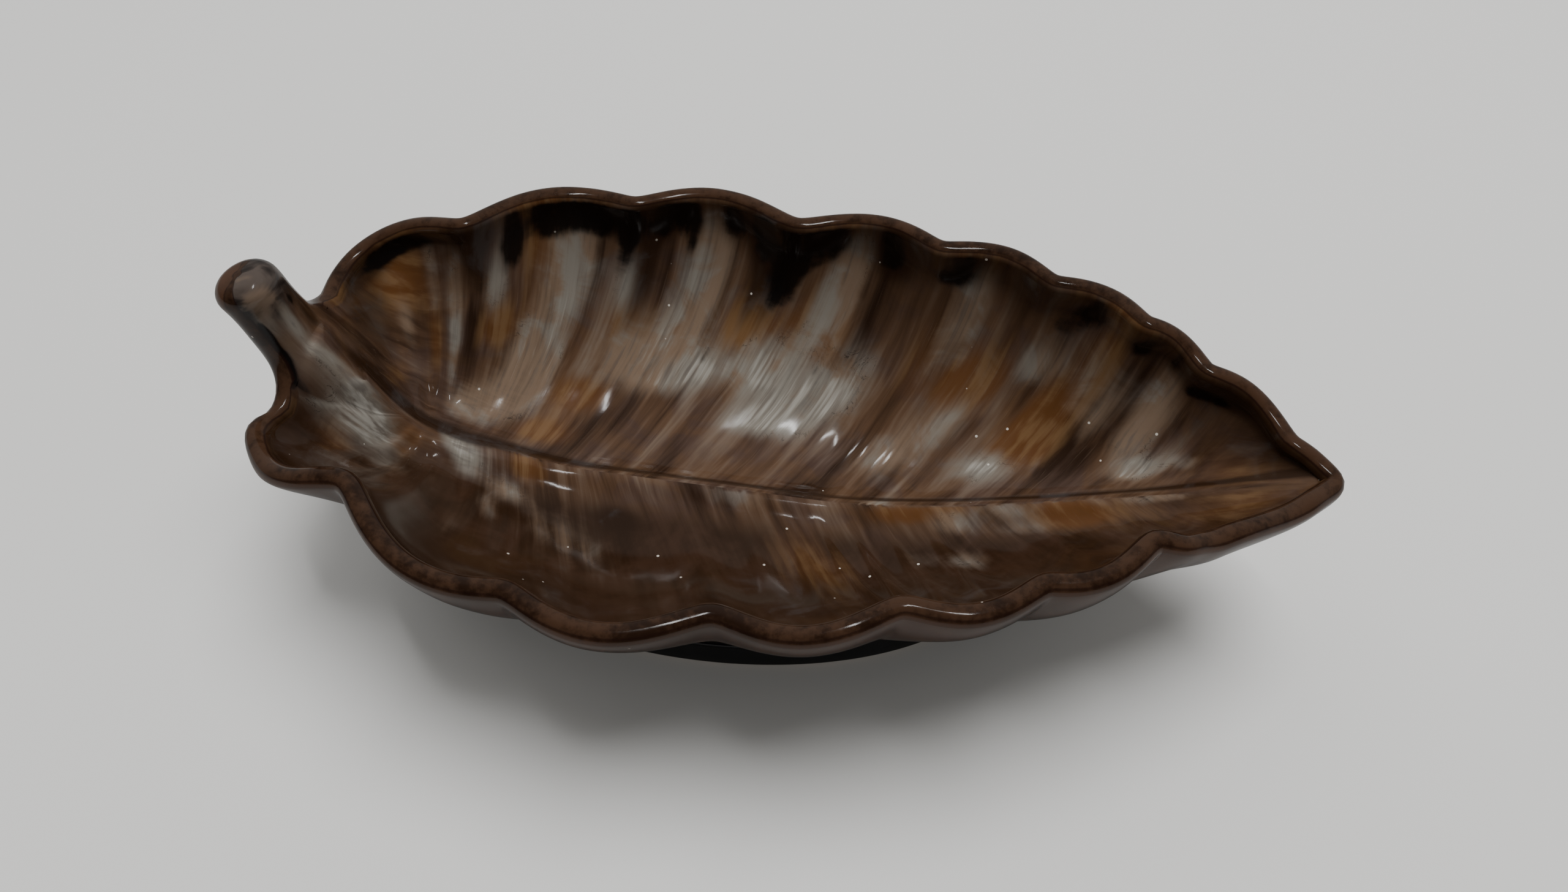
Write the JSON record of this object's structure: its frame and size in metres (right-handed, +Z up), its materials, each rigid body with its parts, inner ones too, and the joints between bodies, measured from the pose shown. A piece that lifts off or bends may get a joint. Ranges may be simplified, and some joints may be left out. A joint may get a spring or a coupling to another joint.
{
  "type": "leaf dish",
  "caption": "Leaf-shaped ring dish with a fluted bowl, a rolled lobed lip, a stub stem and an oval foot ring.",
  "frame": {"origin": "middle of the dish's length and width, on the table that it stands on", "axes": "+X from the stem to the leaf's tip, +Z up, +Y across the leaf"},
  "size_m": [0.1636, 0.085, 0.0504],
  "materials": {
    "streaked_brown_glaze": "gloss glaze, brown streaked with amber, milky blue-grey and black",
    "stem_glaze": "gloss glaze, charcoal brown with a grey-violet swirl",
    "dark_foot_glaze": "gloss blue-black glaze, wiped to bare clay where it stands"
  },
  "bodies": {
    "root": {"leaf_bowl": "streaked_brown_glaze", "stem_handle": "stem_glaze", "foot_ring": "dark_foot_glaze"}
  },
  "joints": []
}
